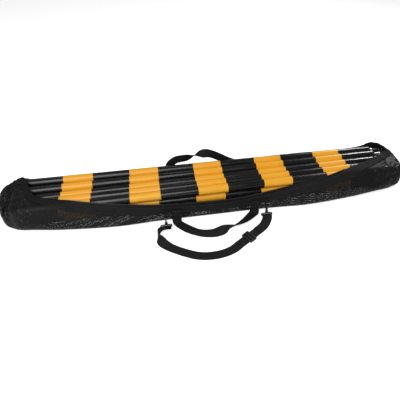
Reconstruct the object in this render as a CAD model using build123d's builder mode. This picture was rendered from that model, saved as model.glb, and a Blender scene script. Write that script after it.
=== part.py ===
from build123d import *
import os
from math import sqrt

# Weave poles for dog agility: twelve black tubes with yellow bands and steel ground spikes,
# lying in an open net carry bag. Millimetres, +Z up, X along the poles, the bag's mouth on top,
# the two carry handles front (-Y) and rear (+Y). The origin is on the floor, at the middle
# of the flat net floor of the bag.

# ---- pole sizes ----
tube_length = 1000.0
tube_diameter = 24.6
tube_wall = 2.0
band_count = 5
band_length = 80.0
band_film = 0.2  # thickness of the yellow film
film_seat = 0.05  # film to tube, radially
fit_gap = 0.05  # moulded plug or steel spike in its bore, radially

cap_skirt_length = 15.0
cap_skirt_wall = 2.0
cap_rim_height = 3.0
cap_dome_height = 5.5
cap_fullness = 0.56  # how far up the dome's curve has come at 0.7 of its radius
cap_flat = 1.0  # radius of the gate mark on top

plug_shank_length = 25.0
plug_collar_height = 2.5
plug_nose_height = 4.0
plug_nose_diameter = 16.0

spike_diameter = 10.0
spike_seat_depth = 20.0
spike_shank_length = 20.0  # bare steel before the point starts
spike_point_length = 14.0
spike_tip_diameter = 1.6

# ---- how the poles lie ----
lie_gap = 0.3  # between one pole and the next
lie_steps = 40  # places along the poles where their heights are compared
balance_point = 0.51  # of a pole's length, from its left end: the spike end is the heavier

# ---- net bag sizes ----
net_thickness = 1.6
mouth_overrun = 20.0  # how far the cutting form stands over the rim
seam_overrun = 1.0  # how far the hollow of an end panel is cut past its seam
mouth_slit = 3.0  # the zip stays open this wide over the right end panel
belly_x = 160.0  # half length of the belly's even part
belly_rear_room = 8.7  # from the rearmost pole to the rear wall
belly_front_room = 21.7  # from the foremost pole to the front wall
belly_rear_rim = 51.0
belly_front_rim = 44.0
seam_room = 45.0  # from the tubes' ends out to the seams of the end panels
shoulder_room = 20.0  # from the tubes' ends out to where the walls turn in
flank_inset = 100.0  # from the tubes' ends in to where the front rim starts to drop
waist_inset = 240.0  # from the tubes' ends in to where it has nearly dropped
left_end_depths = (12.0, 21.0)  # from the left seam out to the end panel's two folds
right_end_depths = (16.0, 29.0)

sewn_gap = 0.1  # between two layers sewn together
hem_height = 24.0  # woven band under the rim
hem_thickness = 1.2

zip_tape_height = 14.0
zip_tape_thickness = 1.0
zip_stand = 5.0  # how far the zip stands over the rim
zip_coil_size = 2.4

# ---- webbing, handles and shoulder strap ----
webbing_width = 25.0
webbing_thickness = 1.8
floor_gap = 0.2  # webbing over the floor
fold_gap = 0.3  # between a handle's fold and the sewn leg it hangs from
leg_x = 106.0  # middle of each webbing leg on the bag's walls
front_leg_foot = 18.0
front_leg_top = 42.0
rear_leg_foot = 12.0
rear_leg_top = 30.0
fold_radius = 4.0
fold_step = 18.7  # first straight run of the front handle in front of its leg
fold_rise = 20.8  # first straight run of the rear handle over its fold
front_slack = [(-62.0, 50.7), (-10.0, 61.7), (50.0, 44.7)]  # its slack curve: place and reach
rear_slack = [(-66.0, 44.8), (2.0, 54.8), (58.0, 43.8)]  # place and rise
handle_bends = [20.0, 60.0, 80.0, 80.0, 20.0]

ring_x = 136.0
ring_bar_z = 36.0
ring_wire = 3.2
ring_width = 27.0  # between the middles of the wire
ring_depth = 14.0
ring_bar_corner = 4.0  # bend radii of the wire beside the bar and beside the bow
ring_bow_corner = 8.0
loop_play = 0.15  # webbing or tab round a wire, radially
tab_width = 18.0
tab_thickness = 1.2
tab_top = 43.0

hook_wire = 3.6
hook_width = 9.0
hook_reach = 10.0  # from the ring's bow to the swivel
hook_play = 0.3  # between the hook and the ring's bow
hook_top_corner = 4.4  # bend radii of the wire at the swivel and at the ring's bow
hook_bow_corner = 3.0
swivel_diameter = 8.0
swivel_length = 5.0
eye_wire = 3.2
eye_width = 29.0
eye_depth = 5.5
eye_corner = 2.4

strap_step = 16.4  # first straight run of the strap at its left hook
strap_end_step = 17.4  # and at its right one
strap_slack = [(-161.0, 40.4), (-142.0, 68.4), (-72.0, 102.4)]  # its curve: place and reach
strap_straight = [(18.0, 102.4), (119.0, 36.4)]  # the run that its slider rides on
strap_bends = [16.0, 18.0, 40.0, 120.0, 80.0, 30.0, 18.0]

slider_length = 22.0
slider_rail = 3.4
slider_play = 0.4
slider_bar = 3.0

# ---- zip end, slider and pull ----
zip_end_y = 11.0
zip_end_drop = 2.0  # top of the tape under the top of the end panel
zip_end_width = 26.0
zip_end_height = 30.0
slider_body_width = 9.0
slider_body_length = 11.0
slider_body_height = 3.6
slider_slot_gap = 0.3
slider_start_drop = 9.0  # middle of the slider under the top of the end panel
pull_pin = 1.6
pull_pin_drop = 1.5  # pin under the middle of the slider
pull_eye_wall = 1.0
pull_eye_length = 4.2
pull_play = 0.2  # eye round the pin, and eye to the slider's face
lug_thickness = 1.2
lug_play = 0.3  # each end of the eye to its lug
pull_length = 24.0
pull_width = 7.0
pull_thickness = 1.4

os.makedirs("parts", exist_ok=True)


def finish(builder, node):
    """Labels a finished piece and writes it."""
    builder.part.label = node
    export_step(builder.part, f"parts/{node}.step")


# ---- the lie of the poles ----
pole_diameter = tube_diameter + 2 * (film_seat + band_film)
pole_pitch = pole_diameter + lie_gap
gap_length = (tube_length - band_count * band_length) / (band_count + 1)
floor_axis_z = net_thickness + lie_gap + pole_diameter / 2

# Sideways places of each pole at its left and right end, in pole pitches from the middle,
# and how far it is pushed along to the right. The rows are laid from the floor up.
bottom_row = {
    "bottom_1": ((1.10, 0.95), 2.0),
    "bottom_2": ((-0.55, -0.55), -4.0),
    "bottom_3": ((-1.85, -1.95), 3.0),
}
middle_row = {
    "middle_1": ((1.47, 1.42), -7.0),
    "middle_2": ((0.20, 0.12), 1.0),
    "middle_3": ((-1.15, -1.38), 0.0),
    "middle_4": ((-2.22, -2.38), -8.0),
}
top_row = {
    "a": ((2.00, 2.00), 0.0),
    "b": ((0.76, 0.98), -1.0),
    "c": ((-0.42, -0.06), -2.0),
    "d": ((-1.50, -1.10), -2.0),
    "e": ((-2.55, -2.14), -2.0),
}


def resting_heights(places, under):
    """Heights of a pole's two ends when it is let down on the floor and the poles under it.

    Both ends come from the line that touches what lies below on each side of its balance point.
    """
    left, right = places
    spans = [step / lie_steps for step in range(lie_steps + 1)]
    needed = []
    for span in spans:
        height = floor_axis_z
        place = left + (right - left) * span
        for (low_left, low_right), (z_left, z_right) in under:
            offset = abs(place - low_left - (low_right - low_left) * span)
            if offset < 1:
                low_z = z_left + (z_right - z_left) * span
                height = max(height, low_z + pole_pitch * sqrt(1 - offset**2))
        needed.append(height)
    highest = None
    for first, first_height in zip(spans, needed):
        for last, last_height in zip(spans, needed):
            if first < balance_point < last:
                slope = (last_height - first_height) / (last - first)
                height = first_height + slope * (balance_point - first)
                if highest is None or height > highest[0]:
                    highest = (height, slope)
    height, slope = highest
    return height - slope * balance_point, height + slope * (1 - balance_point)


def lay_row(row, under):
    """Lays one row of poles on those under it. Gives each pole's left end and direction."""
    laid, lines = {}, []
    for name, (places, push) in row.items():
        heights = resting_heights(places, under)
        lines.append((places, heights))
        left = Vector(-tube_length / 2, places[0] * pole_pitch, heights[0])
        right = Vector(tube_length / 2, places[1] * pole_pitch, heights[1])
        along = (right - left).normalized()
        laid[name] = (left + along * push, along)
    return laid, lines


bottom_poles, bottom_lines = lay_row(bottom_row, [])
middle_poles, middle_lines = lay_row(middle_row, bottom_lines)
top_poles, top_lines = lay_row(top_row, bottom_lines + middle_lines)


def across(pole, distance):
    """The plane square to a pole at a distance from the left end of its tube."""
    left, along = pole
    return Plane(origin=left + along * distance, x_dir=(0, 0, 1), z_dir=along)


def lengthwise(pole, distance, outward):
    """A plane through a pole's axis: local X is the radius, local Y points out of that end."""
    left, along = pole
    side = Vector(0, 0, 1).cross(along).normalized()
    return Plane(origin=left + along * distance, x_dir=side, z_dir=side.cross(along * outward))


def turned(pole, distance, outward, outline):
    """Adds a turned piece to the part being built, from half its outline."""
    left, along = pole
    with BuildSketch(lengthwise(pole, distance, outward)) as half:
        with BuildLine():
            outline()
        make_face()
    revolve(half.sketch, axis=Axis(left, along))


def add_tube(pole):
    with BuildSketch(across(pole, 0)) as ring:
        Circle(tube_diameter / 2)
        Circle(tube_diameter / 2 - tube_wall, mode=Mode.SUBTRACT)
    extrude(ring.sketch, amount=tube_length)


def add_bands(pole):
    for index in range(band_count):
        start = gap_length + index * (gap_length + band_length)
        with BuildSketch(across(pole, start)) as ring:
            Circle(pole_diameter / 2)
            Circle(tube_diameter / 2 + film_seat, mode=Mode.SUBTRACT)
        extrude(ring.sketch, amount=band_length)


bore_radius = tube_diameter / 2 - tube_wall - fit_gap


def cap_outline():
    """Half the section of the moulded end cap: a hollow skirt and a domed head."""
    skirt_bore = bore_radius - cap_skirt_wall
    head_radius = tube_diameter / 2
    Polyline(
        (0, -cap_skirt_wall), (skirt_bore, -cap_skirt_wall), (skirt_bore, -cap_skirt_length),
        (bore_radius, -cap_skirt_length), (bore_radius, 0), (head_radius, 0),
        (head_radius, cap_rim_height),
    )
    top = cap_rim_height + cap_dome_height
    shoulder = (head_radius * sqrt(0.5), cap_rim_height + cap_dome_height * cap_fullness)
    ThreePointArc((head_radius, cap_rim_height), shoulder, (cap_flat, top))
    Polyline((cap_flat, top), (0, top), (0, -cap_skirt_wall))


def plug_outline():
    """Half the section of the plug that holds the spike: shank, collar and tapered nose."""
    bore = spike_diameter / 2 + fit_gap
    collar = tube_diameter / 2
    nose = plug_collar_height + plug_nose_height
    Polyline(
        (bore, -plug_shank_length), (bore_radius, -plug_shank_length), (bore_radius, 0),
        (collar, 0), (collar, plug_collar_height), (plug_nose_diameter / 2, nose),
        (bore, nose), (bore, -plug_shank_length),
    )


def spike_outline():
    """Half the section of the steel spike: a round shank that runs out in a blunt point."""
    radius, tip = spike_diameter / 2, spike_tip_diameter / 2
    shoulder = plug_collar_height + plug_nose_height + spike_shank_length
    end = shoulder + spike_point_length
    Polyline(
        (0, -spike_seat_depth), (radius, -spike_seat_depth), (radius, shoulder),
        (tip, end), (0, end), (0, -spike_seat_depth),
    )


def add_cap(pole):
    turned(pole, 0, -1, cap_outline)


def add_plug(pole):
    turned(pole, tube_length, 1, plug_outline)


def add_spike(pole):
    turned(pole, tube_length, 1, spike_outline)


pieces = {"bands": add_bands, "cap": add_cap, "plug": add_plug, "spike": add_spike}

for name, pole in {**top_poles, **middle_poles, **bottom_poles}.items():
    with BuildPart() as tube:
        add_tube(pole)
    finish(tube, f"pole_{name}_tube")

for name, pole in top_poles.items():
    for piece, add_piece in pieces.items():
        with BuildPart() as single:
            add_piece(pole)
        finish(single, f"pole_{name}_{piece}")

for row_name, row in {"middle": middle_poles, "bottom": bottom_poles}.items():
    for piece, add_piece in pieces.items():
        with BuildPart() as group:
            for pole in row.values():
                add_piece(pole)
        finish(group, f"{row_name}_row_{piece}")

# ---- the net bag ----
# The walls are sewn to hold the heap of poles, so they follow its two sides and its ends.
heap_places = [
    place * pole_pitch
    for row in (bottom_row, middle_row, top_row)
    for places, _ in row.values()
    for place in places
]
heap_rear = max(heap_places) + pole_diameter / 2
heap_front = min(heap_places) - pole_diameter / 2
belly_rear_y = heap_rear + belly_rear_room
belly_front_y = heap_front - belly_front_room

seam_x = tube_length / 2 + seam_room
shoulder_x = tube_length / 2 + shoulder_room
flank_x = tube_length / 2 - flank_inset
waist_x = tube_length / 2 - waist_inset

# Stations along the bag: place, rear wall, front wall, rear rim, front rim, height of the
# floor and radius of the lower corners. The belly is full, and both ends slant back from the
# front wall to the rear one, with the right end the longer.
belly = (belly_rear_y, belly_front_y, belly_rear_rim, belly_front_rim, 0.0, 12.0)
stations = [
    (-seam_x, heap_rear + 0.7, heap_front + 13.3, 52.0, 58.0, 1.0, 34.0),
    (-shoulder_x, heap_rear + 4.7, heap_front - 4.7, 52.0, 64.0, 0.0, 36.0),
    (-flank_x, heap_rear + 7.7, heap_front - 14.7, 51.0, 60.0, 0.0, 28.0),
    (-waist_x, belly_rear_y, belly_front_y, 51.0, 50.0, 0.0, 18.0),
    (-belly_x, *belly),
    (belly_x, *belly),
    (waist_x, belly_rear_y, belly_front_y, 51.0, 50.0, 0.0, 18.0),
    (flank_x, heap_rear + 7.7, heap_front - 14.7, 52.0, 60.0, 0.0, 28.0),
    (shoulder_x, heap_rear + 4.7, heap_front - 4.7, 54.0, 64.0, 0.0, 36.0),
    (seam_x, heap_rear + 0.7, heap_front + 11.3, 54.0, 60.0, 1.0, 34.0),
]
# The end panels close over the top: place, rear, front, top and floor, and corner radius.
left_folds = [seam_x + depth for depth in left_end_depths]
right_folds = [seam_x + depth for depth in right_end_depths]
left_end = [
    (-seam_x, heap_rear + 0.7, heap_front + 13.3, 58.0, 1.0, 25.0),
    (-left_folds[0], heap_rear - 4.3, heap_front + 39.3, 54.0, 4.0, 23.0),
    (-left_folds[1], heap_rear - 13.3, heap_front + 69.3, 47.0, 11.0, 17.0),
]
right_end = [
    (seam_x, heap_rear + 0.7, heap_front + 11.3, 60.0, 1.0, 25.0),
    (right_folds[0], heap_rear - 6.3, heap_front + 31.3, 56.0, 4.0, 23.0),
    (right_folds[1], heap_rear - 19.3, heap_front + 55.3, 48.0, 10.0, 18.0),
]


def cross_plane(x):
    """The plane across the bag at x: local X is +Y, local Y is +Z."""
    return Plane(origin=(x, 0, 0), x_dir=(0, 1, 0), z_dir=(1, 0, 0))


def trough_section(station, x, inset, over):
    """One cross section of the bag at x, moved in by inset and raised over its rim."""
    _, rear, front, rear_rim, front_rim, floor, radius = station
    with BuildSketch(cross_plane(x)) as section:
        with BuildLine():
            FilletPolyline(
                (rear - inset, rear_rim + over), (rear - inset, floor + inset),
                (front + inset, floor + inset), (front + inset, front_rim + over),
                radius=radius - inset,
            )
            Line((front + inset, front_rim + over), (rear - inset, rear_rim + over))
        make_face()
    return section.sketch


outer_sections, inner_sections = [], []
for station in stations:
    outer_sections.append(trough_section(station, station[0], 0, 0))
    inner_sections.append(trough_section(station, station[0], net_thickness, mouth_overrun))

with BuildPart() as net_body:
    loft(outer_sections, ruled=True)
    loft(inner_sections, ruled=True, mode=Mode.SUBTRACT)
finish(net_body, "net_body")


def end_section(row, inset, shift):
    """One closed cross section of an end panel, moved in by inset and along by shift."""
    x, rear, front, top, floor, radius = row
    with BuildSketch(cross_plane(x + shift)) as section:
        with Locations(((rear + front) / 2, (top + floor) / 2)):
            RectangleRounded(
                rear - front - 2 * inset, top - floor - 2 * inset, radius - inset
            )
    return section.sketch


end_face_x = right_end[-1][0]
slider_z = right_end[-1][3] - slider_start_drop  # the zip is open down to its slider

for side, rows in {"left": left_end, "right": right_end}.items():
    inward = -1 if rows[-1][0] > 0 else 1
    with BuildPart() as net_end:
        loft([end_section(row, 0, 0) for row in rows], ruled=True)
        mouth, *deeper = rows
        hollow = [end_section(mouth, net_thickness, inward * seam_overrun)]
        hollow += [end_section(row, net_thickness, inward * net_thickness) for row in deeper]
        loft(hollow, ruled=True, mode=Mode.SUBTRACT)
        if side == "right":
            with BuildSketch(Plane.XY.offset(slider_z)):
                with Locations((end_face_x, zip_end_y)):
                    Rectangle(2 * (end_face_x - rows[0][0]) + 1, mouth_slit)
            extrude(amount=mouth_overrun, mode=Mode.SUBTRACT)
    finish(net_end, f"net_end_{side}")

# The woven hems outside the rim and the two halves of the zip inside it, for both walls.
rear_wall = [(station[0], station[1], station[3]) for station in stations]
front_wall = [(station[0], station[2], station[4]) for station in stations]

for side, walls, outward in (("rear", rear_wall, 1), ("front", front_wall, -1)):
    with BuildPart() as hem:
        for x, wall, rim in walls:
            near = wall + outward * sewn_gap
            far = near + outward * hem_thickness
            with BuildSketch(cross_plane(x)):
                with BuildLine():
                    Polyline(
                        (near, rim), (far, rim), (far, rim - hem_height),
                        (near, rim - hem_height), close=True,
                    )
                make_face()
        loft(ruled=True)
    finish(hem, f"{side}_hem")

    with BuildPart() as zip_half:
        for x, wall, rim in walls:
            near = wall - outward * (net_thickness + sewn_gap)
            far = near - outward * zip_tape_thickness
            coil = near - outward * zip_coil_size
            top = rim + zip_stand
            with BuildSketch(cross_plane(x)):
                with BuildLine():
                    Polyline(
                        (near, top), (coil, top), (coil, top - zip_coil_size),
                        (far, top - zip_coil_size), (far, top - zip_tape_height),
                        (near, top - zip_tape_height), close=True,
                    )
                make_face()
        loft(ruled=True)
    finish(zip_half, f"{side}_zip_half")

# The closed end of the zip, on the right end panel, with its slider and pull.
end_tape_x = end_face_x + sewn_gap
end_coil_x = end_tape_x + zip_tape_thickness
end_middle_z = right_end[-1][3] - zip_end_drop - zip_end_height / 2

with BuildPart() as zip_end:
    with BuildSketch(Plane.YZ.offset(end_tape_x)):
        with Locations((zip_end_y, end_middle_z)):
            Rectangle(zip_end_width, zip_end_height)
    extrude(amount=zip_tape_thickness)
    with BuildSketch(Plane.YZ.offset(end_coil_x)):
        with Locations((zip_end_y, end_middle_z)):
            Rectangle(zip_coil_size, zip_end_height)
    extrude(amount=zip_coil_size / 2)
    with BuildSketch(Plane.XY.offset(slider_z)):
        with Locations((end_face_x, zip_end_y)):
            Rectangle(zip_end_width, mouth_slit)
    extrude(amount=mouth_overrun, mode=Mode.SUBTRACT)
finish(zip_end, "zip_closed_end")

slider_base_x = end_coil_x + slider_slot_gap
slider_face_x = slider_base_x + slider_body_height
pull_eye_radius = pull_pin / 2 + pull_play + pull_eye_wall
pin_x = slider_face_x + pull_play + pull_eye_radius
pin_z = slider_z - pull_pin_drop
lug_y = pull_eye_length / 2 + lug_play + lug_thickness / 2

with BuildPart() as zip_slider:
    with BuildSketch(Plane.YZ.offset(slider_base_x)):
        with Locations((zip_end_y, slider_z)):
            Trapezoid(slider_body_width, slider_body_length, 80)
    extrude(amount=slider_body_height)
    fillet(zip_slider.edges().filter_by(Axis.X), radius=1.5)
    slot = zip_coil_size / 2 + slider_slot_gap
    with BuildSketch(Plane.YZ.offset(slider_base_x)):
        with Locations((zip_end_y, slider_z)):
            Rectangle(2 * slot, 2 * slider_body_length)
    extrude(amount=zip_coil_size / 2, mode=Mode.SUBTRACT)
    for side in (-1, 1):
        with BuildSketch(Plane.XZ.offset(-zip_end_y - side * lug_y)):
            with Locations(((slider_face_x + pin_x) / 2, pin_z)):
                Rectangle(pin_x - slider_face_x, 2 * pull_eye_radius)
            with Locations((pin_x, pin_z)):
                Circle(pull_eye_radius)
        extrude(amount=lug_thickness / 2, both=True)
    with BuildSketch(Plane.XZ.offset(-zip_end_y)):
        with Locations((pin_x, pin_z)):
            Circle(pull_pin / 2)
    extrude(amount=lug_y, both=True)
finish(zip_slider, "zip_slider")

with BuildPart() as zip_pull:
    with BuildSketch(Plane.XZ.offset(-zip_end_y)):
        with Locations((pin_x, pin_z)):
            Circle(pull_eye_radius)
            Circle(pull_eye_radius - pull_eye_wall, mode=Mode.SUBTRACT)
    extrude(amount=pull_eye_length / 2, both=True)
    neck_top = pin_z - pull_eye_radius + pull_eye_wall / 2
    blade_top = pin_z - pull_eye_radius - 2 * pull_play
    blade_bottom = pin_z - pull_length
    with BuildSketch(Plane.YZ.offset(pin_x)):
        with Locations((zip_end_y, (neck_top + blade_bottom + pull_width) / 2)):
            Rectangle(pull_eye_length, neck_top - blade_bottom - pull_width)
        with Locations((zip_end_y, (blade_top + blade_bottom) / 2)):
            SlotOverall(blade_top - blade_bottom, pull_width, rotation=90)
    extrude(amount=pull_thickness / 2, both=True)
finish(zip_pull, "zip_pull")

# ---- webbing legs and handles ----
leg_gap = sewn_gap + hem_thickness + sewn_gap
front_leg_y = belly_front_y - leg_gap - webbing_thickness / 2
rear_leg_y = belly_rear_y + leg_gap + webbing_thickness / 2
fold_offset = webbing_thickness / 2 + fold_gap
front_fold_z = front_leg_foot - fold_offset
rear_fold_z = rear_leg_top + fold_offset
floor_webbing_z = floor_gap + webbing_thickness / 2

legs = {
    "front": (front_leg_y, front_leg_foot, front_leg_top),
    "rear": (rear_leg_y, rear_leg_foot, rear_leg_top),
}
for side, (leg_y, foot, top) in legs.items():
    with BuildPart() as webbing_legs:
        for x in (-leg_x, leg_x):
            with BuildSketch(Plane.XZ.offset(-leg_y)):
                with Locations((x, (foot + top) / 2)):
                    Rectangle(webbing_width, top - foot)
            extrude(amount=webbing_thickness / 2, both=True)
    finish(webbing_legs, f"{side}_webbing_legs")

# Both handles are the same cut of webbing. The front one has fallen open on the floor and
# the rear one stands up against the bag, each in its own slack curve.
fold_run = 2 * fold_radius
front_loop = [
    (-leg_x, front_leg_y - fold_radius), (-leg_x, front_leg_y - fold_step),
    *[(x, front_leg_y - reach) for x, reach in front_slack],
    (leg_x, front_leg_y - fold_step), (leg_x, front_leg_y - fold_radius),
]
rear_loop = [
    (-leg_x, rear_fold_z), (-leg_x, rear_fold_z + fold_rise),
    *[(x, rear_fold_z + rise) for x, rise in rear_slack],
    (leg_x, rear_fold_z + fold_rise), (leg_x, rear_fold_z),
]

with BuildPart() as front_handle:
    with BuildSketch(Plane.XY.offset(floor_gap)):
        with BuildLine():
            front_path = FilletPolyline(*front_loop, radius=handle_bends)
        trace(front_path, line_width=webbing_width)
    extrude(amount=webbing_thickness)
    for x in (-leg_x, leg_x):
        with BuildSketch(cross_plane(x)):
            with BuildLine():
                fold = FilletPolyline(
                    (front_leg_y, front_fold_z), (front_leg_y, floor_webbing_z),
                    (front_leg_y - fold_run, floor_webbing_z),
                    radius=fold_radius,
                )
            trace(fold, line_width=webbing_thickness)
            with Locations((front_leg_y, front_fold_z)):
                Circle(webbing_thickness / 2)
        extrude(amount=webbing_width / 2, both=True)
finish(front_handle, "front_handle")

with BuildPart() as rear_handle:
    with BuildSketch(Plane.XZ.offset(-rear_leg_y)):
        with BuildLine():
            rear_path = FilletPolyline(*rear_loop, radius=handle_bends)
        trace(rear_path, line_width=webbing_width)
    extrude(amount=webbing_thickness / 2, both=True)
    for x in (-leg_x, leg_x):
        with BuildSketch(cross_plane(x)):
            with Locations((rear_leg_y, rear_fold_z)):
                Circle(webbing_thickness / 2)
        extrude(amount=webbing_width / 2, both=True)
finish(rear_handle, "rear_handle")

# ---- shoulder strap with its rings and hooks ----
# The rings, hooks and strap hang as one chain from the ring bars down to the floor.
tab_y = belly_front_y - leg_gap - tab_thickness / 2
tab_loop_radius = ring_wire / 2 + loop_play
ring_bar_y = tab_y - tab_thickness / 2 - tab_loop_radius
eye_loop_radius = eye_wire / 2 + loop_play
eye_bar_z = floor_gap + webbing_thickness + eye_loop_radius
bow_drop = ring_wire / 2 + hook_play + hook_wire / 2  # ring's bow to the hook's own bow
hook_top_to_swivel = bow_drop + hook_reach
eye_top_drop = hook_top_to_swivel + swivel_length + eye_wire / 2
chain_length = ring_depth - bow_drop + eye_top_drop + eye_depth
chain_drop = (ring_bar_z - eye_bar_z) / chain_length
chain_run = sqrt(1 - chain_drop**2)
eye_bar_y = ring_bar_y - chain_length * chain_run


def chain_plane(x):
    """The plane the ring lies in: local X is +X, local -Y runs down the chain."""
    return Plane(
        origin=(x, ring_bar_y, ring_bar_z), x_dir=(1, 0, 0), z_dir=(0, -chain_drop, chain_run)
    )


def chain_side_plane(x):
    """The plane across the ring: local X runs down the chain, local Y is square to it."""
    return Plane(
        origin=(x, ring_bar_y, ring_bar_z), x_dir=(0, -chain_run, -chain_drop), z_dir=(1, 0, 0)
    )


with BuildPart() as ring_tabs:
    for x in (-ring_x, ring_x):
        with BuildSketch(cross_plane(x)):
            with Locations((tab_y, (tab_top + ring_bar_z) / 2)):
                Rectangle(tab_thickness, tab_top - ring_bar_z)
            with Locations((ring_bar_y, ring_bar_z)):
                Circle(tab_loop_radius + tab_thickness)
                Circle(tab_loop_radius, mode=Mode.SUBTRACT)
        extrude(amount=tab_width / 2, both=True)
finish(ring_tabs, "ring_tabs")

with BuildPart() as d_rings:
    for x in (-ring_x, ring_x):
        plane = chain_plane(x)
        half = ring_width / 2
        with BuildLine(plane) as ring_path:
            FilletPolyline(
                (-half, 0), (half, 0), (half, -ring_depth), (-half, -ring_depth),
                radius=[ring_bar_corner, ring_bar_corner, ring_bow_corner, ring_bow_corner],
                close=True,
            )
        with BuildSketch(Plane(origin=plane.origin, x_dir=plane.y_dir, z_dir=plane.x_dir)):
            Circle(ring_wire / 2)
        sweep(path=ring_path.wires()[0])
finish(d_rings, "d_rings")

with BuildPart() as snap_hooks:
    for x in (-ring_x, ring_x):
        side_plane, plane = chain_side_plane(x), chain_plane(x)
        start = ring_depth - bow_drop
        half = hook_width / 2
        with BuildLine(side_plane) as hook_path:
            FilletPolyline(
                (start, -half), (start + hook_top_to_swivel, -half),
                (start + hook_top_to_swivel, half), (start, half),
                radius=[hook_bow_corner, hook_bow_corner, hook_top_corner, hook_top_corner],
                close=True,
            )
        middle = side_plane.from_local_coords((start + hook_top_to_swivel / 2, -half))
        with BuildSketch(Plane(origin=middle, x_dir=(1, 0, 0), z_dir=side_plane.x_dir)):
            Circle(hook_wire / 2)
        sweep(path=hook_path.wires()[0])
        swivel = side_plane.from_local_coords((start + hook_top_to_swivel, 0))
        with BuildSketch(Plane(origin=swivel, x_dir=(1, 0, 0), z_dir=side_plane.x_dir)):
            Circle(swivel_diameter / 2)
        extrude(amount=swivel_length)
        eye_top = -(ring_depth - bow_drop + eye_top_drop)
        eye_half = eye_width / 2
        with BuildLine(plane) as eye_path:
            FilletPolyline(
                (-eye_half, eye_top), (eye_half, eye_top), (eye_half, eye_top - eye_depth),
                (-eye_half, eye_top - eye_depth),
                radius=eye_corner, close=True,
            )
        eye_start = plane.from_local_coords((0, eye_top))
        with BuildSketch(Plane(origin=eye_start, x_dir=plane.y_dir, z_dir=plane.x_dir)):
            Circle(eye_wire / 2)
        sweep(path=eye_path.wires()[0])
finish(snap_hooks, "snap_hooks")

# The strap lies flat on the floor in front of the handle. Its right end is doubled back
# over itself from the hook to the slider, which sets its length.
slider_run = [Vector(x, eye_bar_y - reach) for x, reach in strap_straight]
strap_route = [
    (-ring_x, eye_bar_y), (-ring_x, eye_bar_y - strap_step),
    *[(x, eye_bar_y - reach) for x, reach in strap_slack],
    *[(place.X, place.Y) for place in slider_run],
    (ring_x, eye_bar_y - strap_end_step), (ring_x, eye_bar_y),
]
slider_middle = (slider_run[0] + slider_run[1]) * 0.5
slider_along = (slider_run[1] - slider_run[0]).normalized()

with BuildPart() as shoulder_strap:
    with BuildSketch(Plane.XY.offset(floor_gap)):
        with BuildLine():
            strap_path = FilletPolyline(*strap_route, radius=strap_bends)
        trace(strap_path, line_width=webbing_width)
    extrude(amount=webbing_thickness)
    for x in (-ring_x, ring_x):
        with BuildSketch(cross_plane(x)):
            with Locations((eye_bar_y, eye_bar_z)):
                Circle(eye_loop_radius + webbing_thickness)
                Circle(eye_loop_radius, mode=Mode.SUBTRACT)
        extrude(amount=webbing_width / 2, both=True)
finish(shoulder_strap, "shoulder_strap")

slider_inside = webbing_width + 2 * slider_play
slider_top = floor_gap + webbing_thickness + slider_play
with BuildPart() as strap_slider:
    slider_plane = Plane(
        origin=(slider_middle.X, slider_middle.Y, floor_gap),
        x_dir=(slider_along.X, slider_along.Y, 0), z_dir=(0, 0, 1),
    )
    with BuildSketch(slider_plane):
        for side in (-1, 1):
            with Locations((0, side * (slider_inside + slider_rail) / 2)):
                SlotOverall(slider_length, slider_rail)
    extrude(amount=slider_top - floor_gap + slider_bar)
    with BuildSketch(slider_plane.offset(slider_top - floor_gap)):
        with GridLocations((slider_length - slider_bar) / 2, 1, 3, 1):
            Rectangle(slider_bar, slider_inside + slider_rail)
    extrude(amount=slider_bar)
finish(strap_slider, "strap_slider")
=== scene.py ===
import math

import bmesh
import bpy
from mathutils import Euler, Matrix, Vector, noise


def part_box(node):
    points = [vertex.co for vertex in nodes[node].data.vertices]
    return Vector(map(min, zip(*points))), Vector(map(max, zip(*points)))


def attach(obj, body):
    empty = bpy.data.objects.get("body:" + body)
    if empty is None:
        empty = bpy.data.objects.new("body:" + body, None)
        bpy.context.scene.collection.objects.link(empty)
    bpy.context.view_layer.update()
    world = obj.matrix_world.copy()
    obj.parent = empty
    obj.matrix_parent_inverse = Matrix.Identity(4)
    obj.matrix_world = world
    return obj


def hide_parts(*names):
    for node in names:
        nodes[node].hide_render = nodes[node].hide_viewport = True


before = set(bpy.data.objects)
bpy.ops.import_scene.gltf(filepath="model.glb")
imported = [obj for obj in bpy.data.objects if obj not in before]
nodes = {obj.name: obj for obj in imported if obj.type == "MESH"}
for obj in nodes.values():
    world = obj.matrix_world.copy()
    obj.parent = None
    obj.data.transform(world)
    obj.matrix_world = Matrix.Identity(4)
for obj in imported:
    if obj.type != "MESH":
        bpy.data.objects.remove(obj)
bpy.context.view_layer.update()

# ---- Camera ----
# The bag is seen from the front and above, over its left half, turned a little to the right.
camera_data = bpy.data.cameras.new("camera")
camera_data.lens = 33.4
camera_data.sensor_width = 36.0
camera_data.clip_start = 0.05
camera = bpy.data.objects.new("camera", camera_data)
bpy.context.collection.objects.link(camera)
camera.location = (-0.161, -0.800, 0.706)
camera.rotation_euler = Euler((math.radians(48), 0, math.radians(-9.5)))
bpy.context.scene.camera = camera

# ---- Floor and light ----
# A seamless pale floor under plain soft light. The camera sees the floor nearly white, and
# the poles pick up long soft highlights from small lamps behind the bag.
def new_material(name, color, roughness, metallic=0.0):
    """A node material with one Principled shader and the value of its own sockets."""
    material = bpy.data.materials.new(name)
    material.use_nodes = True
    shader = material.node_tree.nodes["Principled BSDF"]
    shader.inputs["Base Color"].default_value = (*color, 1)
    shader.inputs["Roughness"].default_value = roughness
    shader.inputs["Metallic"].default_value = metallic
    return material, shader, material.node_tree


def add_node(tree, kind, inputs=(), **settings):
    """A shader node with its settings and unlinked inputs set."""
    node = tree.nodes.new(kind)
    for key, value in settings.items():
        setattr(node, key, value)
    for key, value in dict(inputs).items():
        node.inputs[key].default_value = value
    return node


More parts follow.
